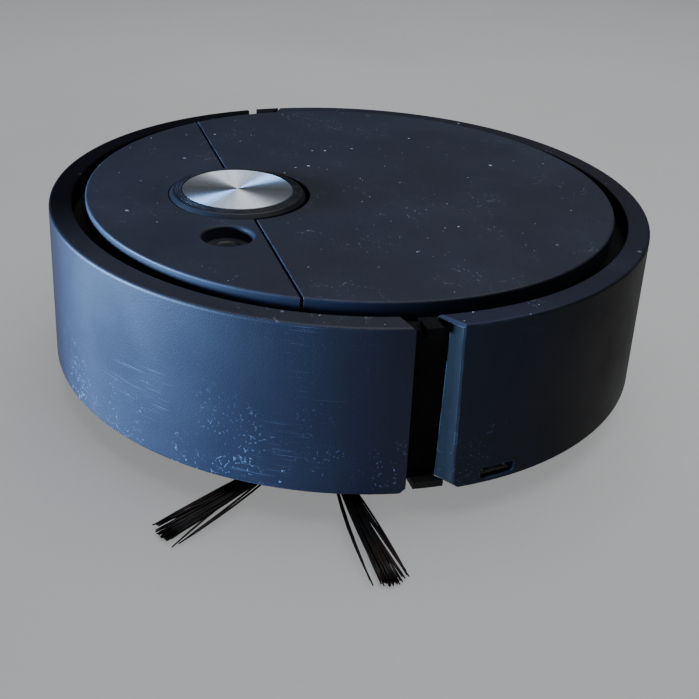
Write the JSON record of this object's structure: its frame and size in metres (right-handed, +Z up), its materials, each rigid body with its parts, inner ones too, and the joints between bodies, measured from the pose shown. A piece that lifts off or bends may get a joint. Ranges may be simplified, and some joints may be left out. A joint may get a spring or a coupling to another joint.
{
  "type": "mini robot vacuum cleaner",
  "caption": "Round low robot vacuum with a sprung half-ring bumper, hinged dust-bin lid, spun-metal deck disc, drive wheels and side brushes.",
  "frame": {"origin": "on the floor, under the centre of the round body", "axes": "+Y is the driving direction, +X the robot's right side, +Z up"},
  "size_m": [0.3018, 0.244, 0.0791],
  "materials": {
    "shell_plastic": "matte fine grain",
    "frame_plastic": "matte",
    "spun_aluminium": "circular brushed",
    "steel": "satin",
    "motor_can": "satin",
    "tyre_rubber": "matte",
    "soft_rubber": "matte",
    "roller_plastic": "satin",
    "bristle_nylon": "satin strands",
    "bin_plastic": "gloss",
    "impeller_plastic": "gloss",
    "filter_paper": "pleated paper",
    "battery_wrap": "gloss",
    "circuit_board": "gloss",
    "component_black": "matte",
    "sensor_lens": "gloss"
  },
  "bodies": {
    "chassis": {"base_plate": "frame_plastic", "mid_frame": "frame_plastic", "rear_shell": "shell_plastic", "front_panel": "shell_plastic", "disc_rim": "shell_plastic", "aluminium_disc": "spun_aluminium", "hinge_pins": "steel", "button_switch": "component_black", "bumper_springs": "steel", "bump_sensors": "frame_plastic", "base_screws": "steel", "cliff_windows": "sensor_lens", "charging_socket": "steel", "battery_pack": "battery_wrap", "battery_cover": "frame_plastic", "battery_cover_screws": "steel", "main_board": "circuit_board", "board_parts": "component_black", "board_screws": "steel", "suction_inlet": "frame_plastic", "inlet_scraper": "soft_rubber", "dust_bin": "bin_plastic", "bin_lid": "bin_plastic", "dust_filter": "filter_paper", "fan_housing": "frame_plastic", "fan_motor": "motor_can", "caster_cup": "frame_plastic", "wheel_cover_left": "frame_plastic", "wheel_cover_right": "frame_plastic", "brush_motor_left": "motor_can", "brush_motor_right": "motor_can"},
    "bumper": {"front_bumper": "shell_plastic"},
    "lid": {"dust_lid": "shell_plastic"},
    "button": {"power_button": "shell_plastic"},
    "arm_left": {"wheel_arm_left": "frame_plastic", "wheel_motor_left": "motor_can"},
    "wheel_left": {"wheel_axle_left": "steel", "wheel_hub_left": "frame_plastic", "wheel_tyre_left": "tyre_rubber"},
    "brush_left": {"brush_shaft_left": "steel", "brush_hub_left": "frame_plastic", "brush_screw_left": "steel", "brush_bristles_left": "bristle_nylon"},
    "arm_right": {"wheel_arm_right": "frame_plastic", "wheel_motor_right": "motor_can"},
    "wheel_right": {"wheel_axle_right": "steel", "wheel_hub_right": "frame_plastic", "wheel_tyre_right": "tyre_rubber"},
    "brush_right": {"brush_shaft_right": "steel", "brush_hub_right": "frame_plastic", "brush_screw_right": "steel", "brush_bristles_right": "bristle_nylon"},
    "caster_swivel": {"caster_fork": "frame_plastic", "caster_axle": "steel"},
    "caster_roller": {"caster_wheel": "roller_plastic"},
    "impeller": {"fan_shaft": "steel", "fan_impeller": "impeller_plastic"}
  },
  "joints": [
    {"name": "bumper_press", "type": "slide", "parent": "chassis", "child": "bumper", "axis": [0, -1, 0], "range_m": [0, 0.003], "stiffness_N_per_m": 400, "deforming": ["bumper_springs"]},
    {"name": "lid_hinge", "type": "hinge", "parent": "chassis", "child": "lid", "pos_m": [0, 0.04, 0.0734], "axis": [-1, 0, 0], "range_deg": [0, 75]},
    {"name": "button_press", "type": "slide", "parent": "chassis", "child": "button", "axis": [0, 0, -1], "range_m": [0, 0.0008], "stiffness_N_per_m": 800},
    {"name": "arm_drop_left", "type": "hinge", "parent": "chassis", "child": "arm_left", "pos_m": [-0.058, -0.055, 0.03], "axis": [-1, 0, 0], "range_deg": [0, 12], "stiffness_Nm_per_rad": 0.15, "springref_deg": 20.05},
    {"name": "wheel_spin_left", "type": "hinge", "parent": "arm_left", "child": "wheel_left", "pos_m": [-0.0715, -0.014, 0.027], "axis": [1, 0, 0], "continuous": true},
    {"name": "brush_spin_left", "type": "hinge", "parent": "chassis", "child": "brush_left", "pos_m": [-0.083, 0.035, 0.0124], "axis": [0, 0, 1], "continuous": true, "deforming": ["brush_bristles_left"]},
    {"name": "arm_drop_right", "type": "hinge", "parent": "chassis", "child": "arm_right", "pos_m": [0.058, -0.055, 0.03], "axis": [-1, 0, 0], "range_deg": [0, 12], "stiffness_Nm_per_rad": 0.15, "springref_deg": 20.05},
    {"name": "wheel_spin_right", "type": "hinge", "parent": "arm_right", "child": "wheel_right", "pos_m": [0.0715, -0.014, 0.027], "axis": [1, 0, 0], "continuous": true},
    {"name": "brush_spin_right", "type": "hinge", "parent": "chassis", "child": "brush_right", "pos_m": [0.083, 0.035, 0.0124], "axis": [0, 0, 1], "continuous": true, "deforming": ["brush_bristles_right"]},
    {"name": "caster_turn", "type": "hinge", "parent": "chassis", "child": "caster_swivel", "pos_m": [0, 0.092, 0.028], "axis": [0, 0, 1], "continuous": true},
    {"name": "caster_roll", "type": "hinge", "parent": "caster_swivel", "child": "caster_roller", "pos_m": [0, 0.088, 0.008], "axis": [1, 0, 0], "continuous": true},
    {"name": "fan_spin", "type": "hinge", "parent": "chassis", "child": "impeller", "pos_m": [0, -0.072, 0.045], "axis": [0, 0, 1], "continuous": true}
  ]
}
